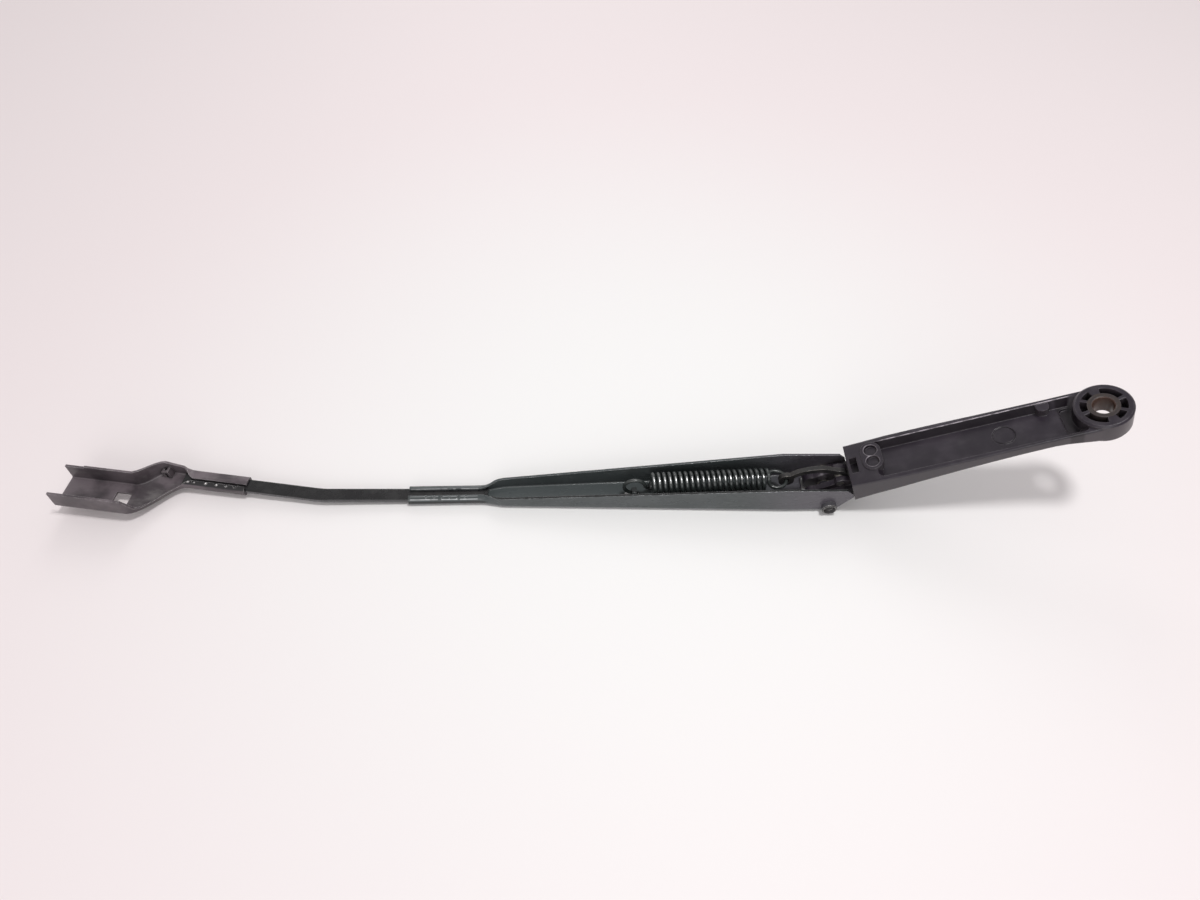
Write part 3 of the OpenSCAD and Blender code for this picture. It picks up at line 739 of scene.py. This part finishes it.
@dataclass(frozen=True)
class BearingPlastic:
    """Off-white bearing plastic, greyed by wear."""

    name: str
    colour: Colour
    dirt: Colour
    shade_and_dirt: Pattern = Pattern(300.0, 5.0, 0.7, 0.35, 0.68)
    rough_span: Span = (0.3, 0.7)
    rough: Span = (0.42, 0.62)
    grain: Pattern = Pattern(2200.0, 3.0, 0.55)
    grain_weight: float = 0.4
    relief: float = 0.02 * MM
    round_r: float = 0.2 * MM
    refraction: float = 1.52

    def material(self) -> bpy.types.Material:
        """Build the plastic's nodes.

        Returns:
            The finished material.
        """
        board = NodeBoard(self.name)
        shade_and_dirt = board.noise(self.shade_and_dirt)
        body = board.blend(board.rise(shade_and_dirt, (self.shade_and_dirt.low, self.shade_and_dirt.high)), self.colour, self.dirt)
        grain = board.noise(self.grain)
        normal = board.bump(grain, self.grain_weight, self.relief, board.soft_edge(self.round_r))
        board.fixed(IOR=self.refraction)
        return board.finish(body, board.ramp(shade_and_dirt, self.rough_span, self.rough), normal)


@dataclass(frozen=True)
class Table:
    """The pale table top that the arm lies on."""

    level: float
    half_width: float = 3.0
    centre: Spot = (-0.1, 0.0)
    # Painted pool of light: paler and brighter round the arm, dimmer farther out, where the table is also
    # pinker.
    lit_middle: Colour = (0.83, 0.83, 0.825)
    dim_border: Colour = (0.815, 0.742, 0.751)
    middle_at: Spot = (-0.215, 0.03)
    fade: Span = (0.042, 0.42)
    rough: float = 0.6
    grain: Pattern = Pattern(900.0)
    grain_weight: float = 0.15
    relief: float = 0.02 * MM

    def build(self) -> None:
        """Lay the table top under the arm's lowest point."""
        bpy.ops.object.select_all(action="DESELECT")
        bpy.ops.mesh.primitive_plane_add(size=2 * self.half_width, location=(*self.centre, self.level))
        top = bpy.context.active_object
        top.name = "table_top"
        bpy.ops.object.transform_apply(location=True, rotation=True, scale=True)
        top.data.materials.append(self.material())
        top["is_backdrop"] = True

    def material(self) -> bpy.types.Material:
        """Build the table's nodes, with a painted pool of light: brighter round the arm and dimmer farther
        out, where the table is also pinker.

        Returns:
            The finished material.
        """
        board = NodeBoard("pale_table")
        away = board.distance(board.place, Vector((*self.middle_at, self.level)))
        body = board.blend(board.rise(away, self.fade), self.lit_middle, self.dim_border)
        normal = board.bump(board.noise(self.grain), self.grain_weight, self.relief)
        return board.finish(body, self.rough, normal)


@dataclass(frozen=True)
class Lamp:
    """One soft, round area lamp."""

    name: str
    place: Place
    aim: Place
    size: float
    power: float
    colour: Colour

    def build(self) -> None:
        """Hang the lamp and turn it to its aim."""
        light = bpy.data.lights.new(self.name, "AREA")
        light.shape = "DISK"
        light.size = self.size
        light.energy = self.power
        light.color = self.colour
        lamp = bpy.data.objects.new(self.name, light)
        bpy.context.scene.collection.objects.link(lamp)
        way = Vector(self.aim) - Vector(self.place)
        lamp.location = self.place
        lamp.rotation_euler = way.to_track_quat("-Z", "Y").to_euler()


@dataclass(frozen=True)
class Studio:
    """The light and the camera that the arm is seen with."""

    camera_at: Place = (-0.25395, -0.27494, 0.32989)
    yaw_deg: float = 1.189
    pitch_deg: float = 52.005
    roll_deg: float = 0.098
    focal_px: float = 875.31
    frame_px: int = 1200
    sensor: float = 36.0
    clip_start: float = 10.0 * MM
    room_colour: Colour = (1.0, 0.97, 0.972)
    room_light: float = 0.512
    lamps: tuple[Lamp, ...] = (
        Lamp("ceiling_panel", place=(0.03, -0.1, 1.45), aim=(-0.1, 0.0, -0.06),
             size=0.26, power=11.1, colour=(1.0, 0.997, 0.992)),
        Lamp("front_window", place=(-0.4, -1.6, 0.75), aim=(-0.3, 0.0, -0.03),
             size=1.2, power=8.5, colour=(1.0, 0.99, 0.995)),
        Lamp("far_window", place=(-0.4, 1.5, 0.9), aim=(-0.3, 0.0, 0.0),
             size=0.9, power=4.5, colour=(1.0, 0.98, 0.985)),
    )

    def build(self) -> None:
        """Set the camera, the lamps, the room's light and the tone curve."""
        self.set_camera()
        for lamp in self.lamps:
            lamp.build()
        self.set_room()
        bpy.context.scene.view_settings.view_transform = "Standard"

    def set_camera(self) -> None:
        """Put the camera where the photograph was taken."""
        data = bpy.data.cameras.new("photo_camera")
        data.sensor_width = self.sensor
        data.lens = self.focal_px / self.frame_px * self.sensor
        data.clip_start = self.clip_start
        camera = bpy.data.objects.new("photo_camera", data)
        bpy.context.scene.collection.objects.link(camera)
        turn = (Matrix.Rotation(math.radians(-self.yaw_deg), 4, "Z")
                @ Matrix.Rotation(math.radians(90.0 - self.pitch_deg), 4, "X")
                @ Matrix.Rotation(math.radians(self.roll_deg), 4, "Z"))
        camera.matrix_world = Matrix.Translation(self.camera_at) @ turn
        bpy.context.scene.camera = camera

    def set_room(self) -> None:
        """Fill the room with even, faintly rosy light."""
        world = bpy.data.worlds.new("room")
        bpy.context.scene.world = world
        world.use_nodes = True
        back = world.node_tree.nodes["Background"]
        back.inputs["Color"].default_value = (*self.room_colour, 1.0)
        back.inputs["Strength"].default_value = self.room_light


def finish_node(frame: dict, name: str, material: bpy.types.Material) -> None:
    """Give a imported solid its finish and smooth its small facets.

    The solid's own vertices stay as they are. Its loose triangles are joined by modifiers.

    Args:
        name: The solid's name.
        material: The finish that it takes.
    """
    solid = frame["nodes"][name]
    for slot in solid.material_slots:
        slot.material = material
    for face in solid.data.polygons:
        face.use_smooth = True
    joined = solid.modifiers.new("join_facets", "WELD")
    joined.merge_threshold = MERGE
    creased = solid.modifiers.new("keep_creases", "EDGE_SPLIT")
    creased.use_edge_sharp = False
    creased.split_angle = math.radians(CREASE_DEG)
    level = solid.modifiers.new("level_flats", "WEIGHTED_NORMAL")
    level.keep_sharp = False
    level.weight = FLATS_WEIGHT
    LOG.info("%s takes %s", name, material.name)


@dataclass(frozen=True)
class Head:
    """The die-cast head, with its pin and the bushes it turns on."""

    # Its paler upright sides are painted light, and its bare colour shows on worn places and in the painted
    # highlight along the far rim.
    paint: CastCoat = CastCoat(
        "die_cast_paint", colour=(0.0135, 0.0095, 0.016), faded=(0.023, 0.017, 0.026), gloss=0.28, dull=0.38,
        dust=0.03, shade_and_dirt=0.5, side_shading=0.5, side_shading_colour=(0.060, 0.052, 0.056),
        edge_width=0.32 * MM, bare=(0.34, 0.31, 0.34), round_r=0.7 * MM,
        grain=1500.0, relief=0.03 * MM, shine=0.45)
    pin: BareSteel = BareSteel(
        "tarnished_steel", colour=(0.42, 0.41, 0.39), tarnish=(0.16, 0.14, 0.12))
    bush: BearingPlastic = BearingPlastic(
        "bearing_plastic", colour=(0.55, 0.53, 0.48), dirt=(0.22, 0.2, 0.17))

    def dress(self, frame: dict) -> None:
        """Give the head and what is pressed into it their finishes."""
        finish_node(frame, "mounting_head", self.paint.material())
        finish_node(frame, "spring_pin", self.pin.material())
        plastic = self.bush.material()
        for name in ("pivot_bush_near", "pivot_bush_far"):
            finish_node(frame, name, plastic)


@dataclass(frozen=True)
class Arm:
    """The pressed channel, the rod, the blade holder and the rivet."""

    # Its bare colour shows on the rubbed edges and in the painted highlight lines on the sleeve.
    channel: CrimpCoat = CrimpCoat(
        "powder_coat", colour=(0.046, 0.0545, 0.0555), faded=(0.060, 0.069, 0.071), gloss=0.20, dull=0.32,
        streak=(0.3, 1.0, 1.0), dust=0.05, shade_and_dirt=0.5, edge=Wear.RUBBED,
        edge_width=0.22 * MM, bare=(0.62, 0.64, 0.65), round_r=0.5 * MM)
    # Its paler upright sides are a painted reflection of the table.
    rod: BlackCoat = BlackCoat(
        "rod_paint", colour=(0.006, 0.006, 0.007), faded=(0.010, 0.010, 0.011), gloss=0.22, dull=0.34,
        dust=0.05, side_shading=0.8, edge=Wear.NONE, coat=0.1)
    # Its darker upright sides are painted shade.
    holder: HolderCoat = HolderCoat(
        "worn_black", colour=(0.052, 0.042, 0.048), faded=(0.145, 0.120, 0.133), gloss=0.32, dull=0.48,
        streak=(0.25, 1.0, 1.0), dust=0.5, shade_and_dirt=0.75, side_shading=0.35,
        side_shading_colour=(0.040, 0.033, 0.037), edge=Wear.RUBBED, bare=(0.55, 0.53, 0.53))
    rivet: RivetCoat = RivetCoat(
        "rivet_coat", colour=(0.030, 0.028, 0.029), faded=(0.052, 0.048, 0.049), gloss=0.26, dull=0.42,
        shade_and_dirt=0.6, shade_and_dirt_colour=(0.018, 0.012, 0.009), edge=Wear.BARE,
        edge_width=0.3 * MM, bare=(0.6, 0.59, 0.57))

    def dress(self, frame: dict) -> None:
        """Give the arm's pieces their finishes."""
        finish_node(frame, "channel", self.channel.material())
        finish_node(frame, "rod", self.rod.material())
        finish_node(frame, "blade_holder", self.holder.material())
        finish_node(frame, "pivot_pin", self.rivet.material())


@dataclass(frozen=True)
class Pull:
    """The tension spring and the link that joins it to the head."""

    # Its bare colour is the colour of the painted highlight on each turn.
    wire: WireCoat = WireCoat(
        "phosphated_wire", colour=(0.022, 0.027, 0.0265), faded=(0.036, 0.042, 0.041), gloss=0.22, dull=0.3,
        dust=0.05, edge=Wear.NONE, bare=(0.75, 0.76, 0.76), shine=0.7)
    plate: BlackCoat = BlackCoat(
        "blackened_plate", colour=(0.015, 0.015, 0.0155), faded=(0.028, 0.026, 0.025), gloss=0.26, dull=0.42,
        edge=Wear.BARE, edge_width=0.2 * MM, bare=(0.40, 0.38, 0.35))
    merge: float = 0.01 * MM
    face_turn_deg: float = 60.0
    shape_turn_deg: float = 70.0
    wire_offset: float = -0.1125 * MM
    hook_start: Place = (-0.2240, 0.0, -0.0526)
    hook_end: Place = (-0.1585, 0.0, -0.0502)

    def dress(self, frame: dict) -> None:
        """Give the link its finish and put the rounded spring in place of its solid."""
        finish_node(frame, "spring_link", self.plate.material())
        self.build_spring(frame["nodes"]["tension_spring"])

    def build_spring(self, solid: bpy.types.Object) -> None:
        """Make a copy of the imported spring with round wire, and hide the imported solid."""
        bpy.ops.object.select_all(action="DESELECT")
        spring = solid.copy()
        spring.data = solid.data.copy()
        spring.name = "coiled_spring"
        spring.parent = None
        spring.matrix_world = Matrix.Identity(4)
        bpy.context.scene.collection.objects.link(spring)
        spring.select_set(True)
        bpy.context.view_layer.objects.active = spring
        self.round_wire(spring)
        keep_rest(spring)
        spring.data.materials.clear()
        spring.data.materials.append(self.wire.material())
        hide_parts("tension_spring")
        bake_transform(spring)
        LOG.info("%s has %d faces", spring.name, len(spring.data.polygons))

    def round_wire(self, spring: bpy.types.Object) -> None:
        """Round the active spring's wire, and draw its surface in so that gaps show between the turns."""
        bpy.ops.object.mode_set(mode="EDIT")
        bpy.ops.mesh.select_all(action="SELECT")
        bpy.ops.mesh.remove_doubles(threshold=self.merge)
        bpy.ops.mesh.tris_convert_to_quads(face_threshold=math.radians(self.face_turn_deg),
                                           shape_threshold=math.radians(self.shape_turn_deg))
        bpy.ops.object.mode_set(mode="OBJECT")
        rounder = spring.modifiers.new("round_wire", "SUBSURF")
        rounder.levels = 1
        rounder.render_levels = 1
        bpy.ops.object.modifier_apply(modifier=rounder.name)
        bpy.ops.object.mode_set(mode="EDIT")
        bpy.ops.mesh.select_all(action="SELECT")
        bpy.ops.transform.shrink_fatten(value=self.wire_offset)
        bpy.ops.object.mode_set(mode="OBJECT")
        bpy.ops.object.shade_smooth()


def keep_rest(piece: bpy.types.Object) -> None:
    """Store each point's place and direction at rest, for patterns that stay on the piece."""
    points = piece.data.vertices
    places = [number for point in points for number in point.co]
    ways = [number for point in points for number in point.normal]
    for kept, numbers in zip(REST, (places, ways)):
        layer = piece.data.attributes.new(kept, "FLOAT_VECTOR", "POINT")
        layer.data.foreach_set("vector", numbers)


def main() -> None:
    """Load the frame, dress each piece and set up the studio."""
    logging.basicConfig(level=logging.INFO, format="%(name)s: %(message)s")
    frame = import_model()
    solid_box = [list(corner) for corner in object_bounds()]
    Table(level=solid_box[0][2]).build()
    for part in (Head(), Arm(), Pull()):
        part.dress(frame)
    Studio().build()


if __name__ == "__main__":
    main()
